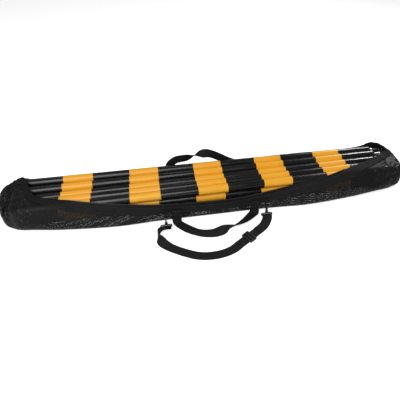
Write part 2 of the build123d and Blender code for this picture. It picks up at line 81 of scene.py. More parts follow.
def map_range(tree, value, from_min, from_max, to_min, to_max):
    """A value taken from one range to another."""
    spread = add_node(tree, "ShaderNodeMapRange", {
        "From Min": from_min, "From Max": from_max, "To Min": to_min, "To Max": to_max
    })
    tree.links.new(value, spread.inputs["Value"])
    return spread.outputs["Result"]


bpy.ops.object.select_all(action="DESELECT")
bpy.ops.mesh.primitive_plane_add(size=60.0)
floor = bpy.context.object
floor.name = "floor"
floor_material, shader, tree = new_material("white_floor", (0.9, 0.9, 0.9), 0.9)
shader.inputs["Specular IOR Level"].default_value = 0.1
shader.inputs["Emission Color"].default_value = (1, 1, 1, 1)
seen_floor = add_node(tree, "ShaderNodeLightPath")
floor_glow = add_node(tree, "ShaderNodeMath", {1: 0.65}, operation="MULTIPLY")
tree.links.new(seen_floor.outputs["Is Camera Ray"], floor_glow.inputs[0])
tree.links.new(floor_glow.outputs["Value"], shader.inputs["Emission Strength"])
floor.data.materials.append(floor_material)

world = bpy.data.worlds.new("studio")
bpy.context.scene.world = world
world.use_nodes = True
tree = world.node_tree
sky = tree.nodes["Background"]
sky.inputs["Color"].default_value = (1, 1, 1, 1)
seen_sky = add_node(tree, "ShaderNodeLightPath")
sky_level = map_range(tree, seen_sky.outputs["Is Camera Ray"], 0.0, 1.0, 0.15, 1.0)
tree.links.new(sky_level, sky.inputs["Strength"])

for name, place, size, power in (
    ("soft_box_front", (-0.7, -1.5, 1.9), 1.9, 52),
    ("soft_box_back_left", (-0.75, 1.15, 1.35), 0.25, 0.7),
    ("soft_box_back", (0.05, 1.15, 1.35), 0.25, 0.6),
    ("soft_box_back_right", (1.35, 1.0, 1.25), 0.3, 12),
):
    lamp = bpy.data.lights.new(name, "AREA")
    lamp.shape = "SQUARE"
    lamp.size = size
    lamp.energy = power
    soft_box = bpy.data.objects.new(name, lamp)
    bpy.context.collection.objects.link(soft_box)
    soft_box.location = place
    soft_box.rotation_euler = (-Vector(place)).to_track_quat("-Z", "Y").to_euler()

bpy.context.scene.view_settings.view_transform = "Standard"


# ---- Poles: tubes, bands, caps, plugs and spikes ----
# Black extruded plastic tubes with a glossy skin and faint draw lines, five sleeves of yellow
# vinyl film each, moulded black ends and zinc-plated steel spikes.
def object_noise(tree, scale, stretch=(1, 1, 1), detail=3.0, roughness=0.5):
    """Noise on Object coordinates, in cells per metre, drawn out by stretch."""
    coordinates = add_node(tree, "ShaderNodeTexCoord")
    mapping = add_node(tree, "ShaderNodeMapping", {"Scale": stretch})
    pattern = add_node(
        tree, "ShaderNodeTexNoise", {"Scale": scale, "Detail": detail, "Roughness": roughness}
    )
    tree.links.new(coordinates.outputs["Object"], mapping.inputs["Vector"])
    tree.links.new(mapping.outputs["Vector"], pattern.inputs["Vector"])
    return pattern.outputs["Fac"]


def ramp(tree, value, low, high):
    """Spreads a value between two output values, over the middle of its range."""
    return map_range(tree, value, 0.3, 0.7, low, high)


def mixed_color(tree, value, first, second):
    """A color that goes from the first to the second with a value."""
    mix = add_node(tree, "ShaderNodeMix", data_type="RGBA")
    mix.inputs["A"].default_value = (*first, 1)
    mix.inputs["B"].default_value = (*second, 1)
    tree.links.new(value, mix.inputs["Factor"])
    return mix.outputs["Result"]


def bumped(tree, shader, height, distance, strength=1.0):
    """Puts small relief on a shader, up to a distance in metres."""
    bump = add_node(tree, "ShaderNodeBump", {"Distance": distance, "Strength": strength})
    tree.links.new(height, bump.inputs["Height"])
    tree.links.new(bump.outputs["Normal"], shader.inputs["Normal"])


def mottled(tree, shader, pattern, colors, roughnesses):
    """Lets a pattern lead a shader between two colors and between two roughnesses."""
    tree.links.new(mixed_color(tree, pattern, *colors), shader.inputs["Base Color"])
    tree.links.new(ramp(tree, pattern, *roughnesses), shader.inputs["Roughness"])


tube_black, shader, tree = new_material("tube_black", (0.008, 0.008, 0.009), 0.22)
draw_lines = object_noise(tree, 900, stretch=(0.01, 1, 1), detail=2)
scuffs = object_noise(tree, 40, stretch=(0.3, 1, 1), detail=6)
mottled(tree, shader, scuffs, ((0.004, 0.004, 0.005), (0.009, 0.009, 0.010)), (0.16, 0.34))
bumped(tree, shader, draw_lines, 0.00008)
shader.inputs["Specular IOR Level"].default_value = 0.45

film_yellow, shader, tree = new_material("film_yellow", (0.92, 0.40, 0.025), 0.34)
film_tone = object_noise(tree, 25, stretch=(0.4, 1, 1), detail=5)
film_skin = object_noise(tree, 700, detail=2)
mottled(tree, shader, film_tone, ((0.87, 0.395, 0.020), (0.93, 0.455, 0.034)), (0.24, 0.4))
bumped(tree, shader, film_skin, 0.00005)
shader.inputs["Specular IOR Level"].default_value = 0.35

moulded_black, shader, tree = new_material("moulded_black", (0.012, 0.012, 0.013), 0.42)
spark_grain = object_noise(tree, 1600, detail=4)
handling = object_noise(tree, 60, detail=5)
mottled(tree, shader, handling, ((0.010, 0.010, 0.011), (0.022, 0.022, 0.024)), (0.34, 0.55))
bumped(tree, shader, spark_grain, 0.0001)

spike_steel, shader, tree = new_material("spike_steel", (0.62, 0.62, 0.61), 0.35, metallic=1.0)
turning_marks = object_noise(tree, 1100, stretch=(3, 0.4, 0.4), detail=2)
zinc_bloom = object_noise(tree, 120, detail=6)
mottled(tree, shader, zinc_bloom, ((0.42, 0.42, 0.41), (0.72, 0.72, 0.71)), (0.25, 0.5))
bumped(tree, shader, turning_marks, 0.00006)


def refinish(node_name, material):
    """Gives a CAD node one material."""
    piece = nodes[node_name]
    piece.data.materials.clear()
    piece.data.materials.append(material)


finishes = {
    "tube": tube_black,
    "bands": film_yellow,
    "cap": moulded_black,
    "plug": moulded_black,
    "spike": spike_steel,
}
for node_name in nodes:
    if node_name.startswith("pole_") or "_row_" in node_name:
        refinish(node_name, finishes[node_name.rsplit("_", 1)[1]])


# ---- Net bag ----
# A long bag of black knitted net, open along its top. Its floor lies flat, the rear wall
# stands behind the poles, and the front wall is pulled up over them towards both ends, where
# rounded end panels are sewn in. The net is thin and hangs in folds where it is gathered.
net_thickness = 0.0008
pole_radius = (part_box("pole_a_bands")[1][1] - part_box("pole_a_bands")[0][1]) / 2
drape_radius = pole_radius + 0.0022
cap_radius = pole_radius + 0.0034
spike_radius = 0.0085
# A pole's cap and spike begin and end at these shares of its tube's length.
cap_reach, cap_end, spike_start, spike_reach = -0.022, 0.012, 1.008, 1.044


def pole_line(tube_name):
    """The two ends of a tube's axis, from the vertices round each of its ends."""
    end_depth = 0.004
    points = [vertex.co for vertex in nodes[tube_name].data.vertices]
    low, high = min(p.x for p in points), max(p.x for p in points)
    ends = []
    for end in (low, high):
        ring = [p for p in points if abs(p.x - end) < end_depth]
        ends.append(sum(ring, Vector()) / len(ring))
    return ends


pole_lines = [pole_line(name) for name in nodes if name.endswith("_tube")]

# Place, rear wall, front wall, floor height and corner radius.
wall_places = [
    (-0.566, 0.050, -0.006, 0.010, 0.016),
    (-0.560, 0.062, -0.032, 0.004, 0.022),
    (-0.548, 0.069, -0.056, 0.001, 0.026),
    (-0.520, 0.070, -0.080, 0.0, 0.030),
    (-0.470, 0.070, -0.090, 0.0, 0.030),
    (-0.400, 0.071, -0.099, 0.0, 0.026),
    (-0.260, 0.072, -0.105, 0.0, 0.018),
    (-0.150, 0.072, -0.0995, 0.0, 0.014),
    (0.0, 0.072, -0.099, 0.0, 0.014),
    (0.150, 0.072, -0.0995, 0.0, 0.014),
    (0.260, 0.072, -0.106, 0.0, 0.018),
    (0.400, 0.071, -0.099, 0.0, 0.026),
    (0.470, 0.070, -0.090, 0.0, 0.030),
    (0.520, 0.070, -0.084, 0.0, 0.032),
    (0.552, 0.068, -0.066, 0.001, 0.026),
    (0.566, 0.060, -0.046, 0.005, 0.022),
    (0.574, 0.047, -0.022, 0.011, 0.016),
]
# Place, then the rear rim's and the front rim's y and z. Both rims meet at the two corners.
rim_places = [
    (-0.541, 0.048, 0.066, 0.048, 0.066),
    (-0.530, 0.061, 0.066, 0.0510, 0.0715),
    (-0.516, 0.068, 0.064, 0.0550, 0.0755),
    (-0.502, 0.070, 0.060, 0.0530, 0.0765),
    (-0.493, 0.070, 0.056, 0.0390, 0.0755),
    (-0.486, 0.070, 0.054, 0.0170, 0.0735),
    (-0.477, 0.069, 0.053, -0.0060, 0.0715),
    (-0.462, 0.069, 0.052, -0.0260, 0.0725),
    (-0.432, 0.069, 0.051, -0.043, 0.0755),
    (-0.389, 0.070, 0.051, -0.0615, 0.0785),
    (-0.355, 0.070, 0.051, -0.071, 0.0765),
    (-0.319, 0.071, 0.050, -0.0765, 0.0710),
    (-0.278, 0.072, 0.050, -0.0795, 0.0635),
    (-0.236, 0.072, 0.050, -0.083, 0.0580),
    (-0.196, 0.072, 0.049, -0.087, 0.0545),
    (-0.152, 0.072, 0.049, -0.091, 0.0520),
    (-0.101, 0.072, 0.049, -0.094, 0.0505),
    (-0.051, 0.072, 0.049, -0.096, 0.0490),
    (0.026, 0.072, 0.049, -0.097, 0.0485),
    (0.075, 0.072, 0.049, -0.096, 0.0505),
    (0.122, 0.072, 0.050, -0.093, 0.0530),
    (0.164, 0.072, 0.050, -0.086, 0.0540),
    (0.205, 0.072, 0.051, -0.0785, 0.0550),
    (0.262, 0.072, 0.051, -0.0745, 0.0600),
    (0.315, 0.071, 0.052, -0.0715, 0.0690),
    (0.354, 0.070, 0.052, -0.0645, 0.0760),
    (0.396, 0.070, 0.053, -0.050, 0.0780),
    (0.439, 0.069, 0.053, -0.0325, 0.0760),
    (0.483, 0.070, 0.056, -0.0105, 0.0735),
    (0.515, 0.070, 0.066, 0.006, 0.0710),
    (0.532, 0.062, 0.073, 0.017, 0.0715),
    (0.545, 0.024, 0.0725, 0.024, 0.0725),
]
mouth_left, mouth_right = rim_places[0][0], rim_places[-1][0]
tip_left, tip_right = wall_places[0][0], wall_places[-1][0]
left_top, right_top = 0.066, 0.074
# Length of the joins between the open mouth and the closed ends.
corner_run = 0.010


def along_table(table, x):
    """Reads a table of places at x, with smooth joins between its rows."""
    if x <= table[0][0]:
        return table[0][1:]
    if x >= table[-1][0]:
        return table[-1][1:]
    for index in range(len(table) - 1):
        if table[index][0] <= x <= table[index + 1][0]:
            break
    rows = [table[max(0, min(i, len(table) - 1))] for i in range(index - 1, index + 3)]
    span = rows[2][0] - rows[1][0]
    t = (x - rows[1][0]) / span
    values = []
    for column in range(1, len(rows[1])):
        p0, p1, p2, p3 = (row[column] for row in rows)
        into = (p2 - p0) / max(rows[2][0] - rows[0][0], 1e-6) * span
        out = (p3 - p1) / max(rows[3][0] - rows[1][0], 1e-6) * span
        values.append(
            (2 * t**3 - 3 * t**2 + 1) * p1 + (t**3 - 2 * t**2 + t) * into
            + (3 * t**2 - 2 * t**3) * p2 + (t**3 - t**2) * out
        )
    return values


def corner(center_y, center_z, radius, first, last, steps=8):
    """Points of a rounded lower corner, between two angles in degrees."""
    points = []
    for step in range(steps + 1):
        angle = math.radians(first + (last - first) * step / steps)
        points.append((center_y + radius * math.cos(angle), center_z + radius * math.sin(angle)))
    return points


def pulled_over(bottom, rim, circles):
    """The tight path of the net from the foot of the front wall to the rim, over the poles."""
    straight_y, straight_z = rim[0] - bottom[0], rim[1] - bottom[1]
    points = [bottom, rim]
    for y, z, radius in circles:
        for degrees in range(0, 360, 10):
            angle = math.radians(degrees)
            point = (y + radius * math.cos(angle), z + radius * math.sin(angle))
            side = straight_y * (point[1] - bottom[1])
            side -= straight_z * (point[0] - bottom[0])
            under_rim = point[1] < rim[1] and point[0] < rim[0] - 0.002
            far_ahead = point[0] < rim[0] - 0.012
            if side > 0 and bottom[1] < point[1] and (under_rim or far_ahead):
                points.append(point)

    def along_straight(p):
        return (p[0] - bottom[0]) * straight_y + (p[1] - bottom[1]) * straight_z

    points.sort(key=along_straight)
    path = []
    for point in points:
        while len(path) > 1:
            (y1, z1), (y2, z2) = path[-2], path[-1]
            turn = (y2 - y1) * (point[1] - z1) - (z2 - z1) * (point[0] - y1)
            if turn < 0:
                break
            path.pop()
        path.append(point)
    return path


def resampled(path, count):
    """The same path with count points at equal steps."""
    lengths = [0.0]
    for (y1, z1), (y2, z2) in zip(path, path[1:]):
        lengths.append(lengths[-1] + math.hypot(y2 - y1, z2 - z1))
    points, index = [], 0
    for step in range(count):
        target = lengths[-1] * step / (count - 1)
        while index < len(path) - 2 and lengths[index + 1] < target:
            index += 1
        span = max(lengths[index + 1] - lengths[index], 1e-9)
        t = (target - lengths[index]) / span
        (y1, z1), (y2, z2) = path[index], path[index + 1]
        points.append((y1 + (y2 - y1) * t, z1 + (z2 - z1) * t))
    return points


section_points = 97


def open_section(x):
    """The net's path across the bag, from the rear rim under the poles to the front rim."""
    rear, front, floor_z, radius = along_table(wall_places, x)
    rear_y, rear_z, front_y, front_z = along_table(rim_places, x)
    floor_z += net_thickness
    rear_arc = corner(rear - radius, floor_z + radius, radius, 0, -90)
    front_arc = corner(front + radius, floor_z + radius, radius, -90, -180)
    circles = []
    for left, right in pole_lines:
        t = (x - left.x) / (right.x - left.x)
        if cap_reach < t < spike_reach:
            center = left.lerp(right, t)
            if t < cap_end:
                radius = cap_radius
            else:
                radius = drape_radius if t < spike_start else spike_radius
            circles.append((center.y, center.z, radius))
    over = pulled_over(front_arc[-1], (front_y, front_z), circles)
    return resampled([(rear_y, rear_z)] + rear_arc + front_arc + over[1:], section_points)


def closed_section(x):
    """The net's path round an end panel, a rounded box, from the zip's line and back to it."""
    ring_steps, boxiness = 160, 0.55
    rear, front, floor_z, _ = along_table(wall_places, x)
    tip = tip_left if x < 0 else tip_right
    mouth = mouth_left if x < 0 else mouth_right
    mouth_y, tip_y = (0.048, 0.020) if x < 0 else (0.024, 0.011)
    depth = min(1.0, max(0.0, (x - mouth) / (tip - mouth)))
    top = left_top - 0.014 * depth**2 if x < 0 else right_top - 0.026 * depth**1.5
    seam_y = (1 - depth) * mouth_y + depth * tip_y
    middle_y, middle_z = (rear + front) / 2, (top + floor_z + net_thickness) / 2
    half_y, half_z = (rear - front) / 2, (top - floor_z - net_thickness) / 2
    ring = []
    for step in range(ring_steps):
        angle = math.radians(90 - 360 * step / ring_steps)
        c, s = math.cos(angle), math.sin(angle)
        ring.append((
            middle_y + half_y * math.copysign(abs(c) ** boxiness, c),
            middle_z + half_z * math.copysign(abs(s) ** boxiness, s),
        ))
    quarter = ring_steps // 4
    start = min(range(-quarter, 2 * quarter), key=lambda i: abs(ring[i % ring_steps][0] - seam_y))
    start %= ring_steps
    return resampled(ring[start:] + ring[:start + 1], section_points)


def bag_section(x):
    """The net's path at x, open along the mouth and closed in the end panels."""
    inside = min(x - mouth_left, mouth_right - x)
    if inside >= corner_run:
        return open_section(x)
    if inside <= 0:
        return closed_section(x)
    blend = inside / corner_run
    blend = blend * blend * (3 - 2 * blend)
    opened, closed = open_section(x), closed_section(x)
    return [
        (y1 * blend + y2 * (1 - blend), z1 * blend + z2 * (1 - blend))
        for (y1, z1), (y2, z2) in zip(opened, closed)
    ]


def between(low, high, step):
    """Places from low to high, about a step apart."""
    count = max(2, round((high - low) / step) + 1)
    return [low + (high - low) * i / (count - 1) for i in range(count)]


left_run, mouth_run, right_run = (
    between(low, high, 0.004)
    for low, high in ((tip_left, mouth_left), (mouth_left, mouth_right), (mouth_right, tip_right))
)
stations = left_run + mouth_run[1:] + right_run[1:]
tight_paths = [bag_section(x) for x in stations]
mouth_start = len(left_run) - 1
fixed_stations = (0, mouth_start, mouth_start + len(mouth_run) - 1, len(stations) - 1)
point_steps = [
    sum(math.dist(a, b) for a, b in zip(path, path[1:])) / (section_points - 1)
    for path in tight_paths
]


def smooth_path(index):
    """A station's path, evened out with its neighbours at equal lengths from the rear rim."""
    longest_reach = 5
    reach = min(longest_reach, min(abs(index - fixed) for fixed in fixed_stations))
    points = []
    for j in range(section_points):
        sum_y = sum_z = total_weight = 0.0
        for away in range(reach + 1):
            places = [j * point_steps[index] / point_steps[index + i] for i in (-away, away)]
            if max(places) > section_points + 1:
                break
            for i, place in zip((-away, away), places):
                place = min(place, section_points - 1)
                low = min(int(place), section_points - 2)
                a, b = tight_paths[index + i][low], tight_paths[index + i][low + 1]
                weight = reach + 1 - away
                sum_y += weight * (a[0] + (b[0] - a[0]) * (place - low))
                sum_z += weight * (a[1] + (b[1] - a[1]) * (place - low))
                total_weight += weight
        points.append((sum_y / total_weight, sum_z / total_weight))
    return points


smooth_paths = [smooth_path(index) for index in range(len(stations))]


def path_at(x):
    """The net's tight path at x, read between two stations."""
    index = 0
    while index < len(stations) - 2 and stations[index + 1] < x:
        index += 1
    t = (x - stations[index]) / (stations[index + 1] - stations[index])
    return [
        (y1 + (y2 - y1) * t, z1 + (z2 - z1) * t)
        for (y1, z1), (y2, z2) in zip(smooth_paths[index], smooth_paths[index + 1])
    ]


def slack(x, share, y, z):
    """How far the loose net stands out of its tight path at a point, in metres.

    The share is the point's place along the path. The folds grow where the net is gathered,
    and fade at the floor, at the hems and at the bag's two tips.
    """
    furthest_in = -0.0012
    on_wall = min(1.0, max(0.0, (z - 0.006) / 0.02))
    gathered = min(1.0, max(0.0, (abs(x) - 0.47) / 0.05))
    broad = noise.noise(Vector((x * 9, share * 5, 1.7)))
    fine = noise.noise(Vector((x * 38, share * 9, 7.3)))
    crease = 0.5 - abs(noise.noise(Vector((x * 42, share * 15, 3.1)))) * 2.6
    pucker = noise.noise(Vector((x * 100, share * 36, 5.9)))
    loose = 0.0020 * broad + 0.0009 * fine
    to_tip = min(abs(x - tip_left), abs(x - tip_right))
    calm = min(1.0, to_tip / 0.012)
    from_hem = min(1.0, min(share, 1 - share) / 0.10)
    folds = gathered * (0.2 + 0.8 * from_hem) * (0.0052 * crease + 0.0022 * pucker * from_hem)
    return on_wall * calm * max(loose + folds, furthest_in)


def net_points(x):
    """The net's points at x, with its slack folds and its rest on the floor."""
    path = path_at(x)
    points = []
    for index, (y, z) in enumerate(path):
        (y1, z1), (y2, z2) = path[max(index - 1, 0)], path[min(index + 1, len(path) - 1)]
        length = max(math.hypot(y2 - y1, z2 - z1), 1e-9)
        out_y, out_z = (z1 - z2) / length, (y2 - y1) / length
        push = slack(x, index / len(path), y, z)
        points.append(Vector((x, y - out_y * push, max(z - out_z * push, net_thickness))))
    return points


def add_piece(name, shape):
    """Puts a finished bmesh into the scene as a new piece."""
    mesh = bpy.data.meshes.new(name)
    shape.to_mesh(mesh)
    shape.free()
    piece = bpy.data.objects.new(name, mesh)
    bpy.context.collection.objects.link(piece)
    return piece


def net_sheet(name, places, closed_tip=None):
    """A sheet of net through the bag's paths at the given places, with lengths as its UVs."""
    shell = bmesh.new()
    uv_layer = shell.loops.layers.uv.new("net")
    rows = [[shell.verts.new(p) for p in net_points(x)] for x in places]
    heights = []
    for row in rows:
        total, heights_row = 0.0, [0.0]
        for a, b in zip(row, row[1:]):
            total += (b.co - a.co).length
            heights_row.append(total)
        middle = total / 2
        heights.append([h - middle for h in heights_row])
    for i in range(len(rows) - 1):
        for j in range(section_points - 1):
            corners = ((i, j), (i + 1, j), (i + 1, j + 1), (i, j + 1))
            face = shell.faces.new([rows[a][b] for a, b in corners])
            face.smooth = True
            for loop, (a, b) in zip(face.loops, corners):
                loop[uv_layer].uv = (places[a], heights[a][b])
    if closed_tip is not None:
        row = rows[-1] if closed_tip == "last" else rows[0]
        middle = sum((v.co for v in row), Vector()) / len(row)
        bulge = 0.0 if closed_tip == "last" else -0.004
        fan = []
        for share in (0.88, 0.72, 0.52, 0.28, 0.0):
            inner = []
            for vertex in row:
                point = middle.lerp(vertex.co, share)
                fold = abs(noise.noise(point * 90)) * (1 - share)
                point.x += bulge * (1 - share**2) - math.copysign(0.002, point.x) * fold
                inner.append(shell.verts.new(point))
            for j in range(section_points - 1):
                corners = [row[j], inner[j], inner[j + 1], row[j + 1]]
                if closed_tip == "first":
                    corners.reverse()
                fan.append(shell.faces.new(corners))
            row = inner
        for face in fan:
            face.smooth = True
            for loop in face.loops:
                loop[uv_layer].uv = (loop.vert.co.y, loop.vert.co.z)
    bmesh.ops.remove_doubles(shell, verts=shell.verts, dist=0.00005)
    return add_piece(name, shell)


net_black, shader, tree = new_material("net_black", (0.006, 0.006, 0.007), 0.5)
shader.inputs["Specular IOR Level"].default_value = 0.2
net_uv = add_node(tree, "ShaderNodeUVMap", uv_map="net")
cells = add_node(
    tree, "ShaderNodeTexVoronoi", {"Scale": 300.0, "Randomness": 0.25}, feature="DISTANCE_TO_EDGE"
)
tree.links.new(net_uv.outputs["UV"], cells.inputs["Vector"])
net_place = add_node(tree, "ShaderNodeTexCoord")
net_axes = add_node(tree, "ShaderNodeSeparateXYZ")
tree.links.new(net_place.outputs["Object"], net_axes.inputs["Vector"])
from_middle = add_node(tree, "ShaderNodeMath", operation="ABSOLUTE")
tree.links.new(net_axes.outputs["X"], from_middle.inputs[0])
# The gathered ends have closer cells and glossier folds, and small glints are painted into their
# colour as light grey spots: painted highlights.
closing = 0.12
gathering = map_range(tree, from_middle.outputs["Value"], 0.43, 0.54, 0.0, closing)
sheen_of_folds = map_range(tree, gathering, 0.0, closing, 0.55, 0.4)
tree.links.new(sheen_of_folds, shader.inputs["Roughness"])
opening = add_node(tree, "ShaderNodeMath", operation="SUBTRACT")
tree.links.new(cells.outputs["Distance"], opening.inputs[0])
tree.links.new(gathering, opening.inputs[1])
thread = map_range(tree, opening.outputs["Value"], 0.275, 0.315, 1.0, 0.0)
tree.links.new(thread, shader.inputs["Alpha"])
knit = object_noise(tree, 420, detail=3)
yarn_tone = object_noise(tree, 90, detail=5)
yarn = mixed_color(tree, yarn_tone, (0.005, 0.005, 0.006), (0.012, 0.012, 0.013))
# Painted highlights: sparse light grey spots mixed into the base colour, only at the gathered
# ends.
painted_glint_spots = object_noise(tree, 290, stretch=(1, 0.55, 0.55), detail=2)
painted_glint_peaks = map_range(tree, painted_glint_spots, 0.65, 0.71, 0.0, 8.0)
painted_end_glints = add_node(tree, "ShaderNodeMath", operation="MULTIPLY", use_clamp=True)
tree.links.new(painted_glint_peaks, painted_end_glints.inputs[0])
tree.links.new(gathering, painted_end_glints.inputs[1])
painted_glint_color = add_node(tree, "ShaderNodeMix", {"B": (0.18, 0.18, 0.185, 1)}, data_type="RGBA")
tree.links.new(painted_end_glints.outputs["Value"], painted_glint_color.inputs["Factor"])
tree.links.new(yarn, painted_glint_color.inputs["A"])
tree.links.new(painted_glint_color.outputs["Result"], shader.inputs["Base Color"])
bumped(tree, shader, knit, 0.0006, 0.9)

body_places = between(mouth_left, mouth_right, 0.005)
net_body = net_sheet("net_body_cloth", body_places)
round_end = [math.radians(degrees) for degrees in range(0, 91, 6)]
left_places = [tip_left - (tip_left - mouth_left) * (1 - math.cos(a)) for a in round_end]
net_left = net_sheet("net_left_end_cloth", left_places, closed_tip="first")
right_places = [mouth_right + (tip_right - mouth_right) * math.sin(a) for a in round_end]
net_right = net_sheet("net_right_end_cloth", right_places, closed_tip="last")
for piece, node_name in (
    (net_body, "net_body"), (net_left, "net_end_left"), (net_right, "net_end_right")
):
    piece.data.materials.append(net_black)
    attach(piece, "bag")
    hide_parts(node_name)

# ---- Hems and zip ----
# A woven band binds the rim outside the net, and one half of a nylon coil zip is sewn inside
# each rim: a tape whose free edge carries the teeth.
def along_rim(side, x):
    """The net's path at x, starting at one rim, with its outward directions."""
    points = net_points(x)
    if side == "front":
        points.reverse()
    outs = []
    for index in range(len(points)):
        before, after = points[max(index - 1, 0)], points[min(index + 1, len(points) - 1)]
        run = (after - before).normalized()
        out = Vector((0, -run.z, run.y)) if side == "rear" else Vector((0, run.z, -run.y))
        outs.append(out)
    return points, outs


def at_depth(points, outs, depth):
    """The point and outward direction at a depth under the rim; above it for a depth under 0."""
    if depth <= 0:
        run = (points[1] - points[0]).normalized()
        return points[0] + run * depth, outs[0]
    for index in range(len(points) - 1):
        step = (points[index + 1] - points[index]).length
        if depth <= step:
            t = depth / step
            return points[index].lerp(points[index + 1], t), outs[index].lerp(outs[index + 1], t)
        depth -= step
    return points[-1], outs[-1]


def rim_band(name, side, depths, near, far):
    """A sewn band that follows a rim, between two offsets from the net."""
    band = bmesh.new()
    uv_layer = band.loops.layers.uv.new("weave")
    rings = []
    for x in body_places:
        points, outs = along_rim(side, x)
        inner, outer = [], []
        for depth in depths:
            point, out = at_depth(points, outs, depth)
            inner.append((band.verts.new(point + out * near), depth))
            outer.append((band.verts.new(point + out * far), depth))
        rings.append(outer + inner[::-1])
    count = len(rings[0])
    flip = side == "rear"
    for i in range(len(rings) - 1):
        for j in range(count):
            k = (j + 1) % count
            corners = [(i, j), (i + 1, j), (i + 1, k), (i, k)]
            if flip:
                corners.reverse()
            face = band.faces.new([rings[a][b][0] for a, b in corners])
            face.smooth = j not in (len(depths) - 1, count - 1)
            for loop, (a, b) in zip(face.loops, corners):
                loop[uv_layer].uv = (body_places[a], rings[a][b][1])
    for row, last in ((rings[0], False), (rings[-1], True)):
        ends = [vertex for vertex, _ in row]
        if last == flip:
            ends.reverse()
        face = band.faces.new(ends)
        for loop in face.loops:
            loop[uv_layer].uv = (loop.vert.co.y, loop.vert.co.z)
    bmesh.ops.recalc_face_normals(band, faces=band.faces)
    return add_piece(name, band)


def woven(name, color, rib, pick, depth, roughness=0.7):
    """A woven tape: ribs along its length and picks across them, on its own UVs in metres, with
    painted highlights on their crests.
    """
    wave_length = 0.314
    material, shader, tree = new_material(name, color, roughness)
    weave_uv = add_node(tree, "ShaderNodeUVMap", uv_map="weave")
    heights = []
    for direction, size in (("Y", rib), ("X", pick)):
        wave = add_node(
            tree, "ShaderNodeTexWave",
            {"Scale": wave_length / size, "Distortion": 0.4, "Detail": 1.0},
            wave_type="BANDS", bands_direction=direction,
        )
        tree.links.new(weave_uv.outputs["UV"], wave.inputs["Vector"])
        heights.append(wave.outputs["Fac"])
    crossed = add_node(tree, "ShaderNodeMath", operation="MULTIPLY")
    tree.links.new(heights[0], crossed.inputs[0])
    tree.links.new(heights[1], crossed.inputs[1])
    wear = object_noise(tree, 45, detail=6)
    # The weave's raised crests are painted lighter than its hollows: a painted highlight that
    # follows the bump's relief.
    light = tuple(min(1, c * 1.9 + 0.004) for c in color)
    cloth = mixed_color(tree, crossed.outputs["Value"], color, light)
    tree.links.new(cloth, shader.inputs["Base Color"])
    worn = ramp(tree, wear, roughness - 0.12, roughness + 0.12)
    tree.links.new(worn, shader.inputs["Roughness"])
    bumped(tree, shader, crossed.outputs["Value"], depth, 0.8)
    shader.inputs["Specular IOR Level"].default_value = 0.2
    return material


hem_black = woven("hem_black", (0.006, 0.006, 0.007), 0.0011, 0.0011, 0.0002)
zip_tape_black = woven("zip_tape_black", (0.007, 0.007, 0.008), 0.0007, 0.0007, 0.0001, 0.62)
hem_depths = [0.0, 0.002, 0.006, 0.010, 0.014, 0.018, 0.022, 0.024]
hem_inside, hem_outside = 0.0005, 0.0017
tape_edge = -0.006
tape_depths = [tape_edge, -0.003, 0.0, 0.004, 0.008]
tape_inside, tape_outside = -0.0013, -0.0005
rim_pieces = []
for side in ("rear", "front"):
    hem = rim_band(f"{side}_hem_band", side, hem_depths, hem_inside, hem_outside)
    hem.data.materials.append(hem_black)
    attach(hem, "bag")
    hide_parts(f"{side}_hem")
    tape = rim_band(f"{side}_zip_tape", side, tape_depths, tape_inside, tape_outside)
    tape.data.materials.append(zip_tape_black)
    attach(tape, "bag")
    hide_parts(f"{side}_zip_half")
    rim_pieces += [hem, tape]

zip_black, shader, tree = new_material("zip_black", (0.012, 0.012, 0.013), 0.35)
nylon_tone = object_noise(tree, 500, detail=3)
tree.links.new(ramp(tree, nylon_tone, 0.28, 0.45), shader.inputs["Roughness"])
bumped(tree, shader, nylon_tone, 0.0001)



def small_parts(name, vertices, faces):
    """One piece of many small closed forms, with all faces turned outward."""
    forms = bmesh.new()
    corners = [forms.verts.new(vertex) for vertex in vertices]
    for face in faces:
        forms.faces.new([corners[index] for index in face])
    bmesh.ops.recalc_face_normals(forms, faces=forms.faces)
    return add_piece(name, forms)


# Each tooth is a small bar, narrower at its top and leaning along the rim.
tooth_pitch, tooth_half_length, tooth_lean = 0.0022, 0.0006, 0.35
tooth_offset, coil_inset = 0.0009, 0.004
tooth_outline = ((-0.0010, -0.0009), (0.0010, -0.0009), (0.0008, 0.0011), (-0.0008, 0.0011))
tooth_faces = ((0, 1, 2, 3), (7, 6, 5, 4), (0, 4, 5, 1), (1, 5, 6, 2), (2, 6, 7, 3), (3, 7, 4, 0))
for side in ("rear", "front"):
    vertices, faces = [], []
    x = mouth_left + coil_inset
    while x < mouth_right - coil_inset:
        points, outs = along_rim(side, x)
        edge, out = at_depth(points, outs, tape_edge)
        up = (points[0] - points[1]).normalized()
        middle = edge - out * tooth_offset
        base = len(vertices)
        for dx in (-tooth_half_length, tooth_half_length):
            for a, b in tooth_outline:
                vertices.append(middle + Vector((dx + b * tooth_lean, 0, 0)) + out * a + up * b)
        faces += [tuple(base + v for v in face) for face in tooth_faces]
        x += tooth_pitch
    coil = small_parts(f"{side}_zip_coil", vertices, faces)
    coil.data.materials.append(zip_black)
    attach(coil, "bag")
    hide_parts(f"{side}_zip_half")
    rim_pieces.append(coil)

for node_name in ("zip_closed_end", "zip_slider", "zip_pull"):
    refinish(node_name, zip_black)


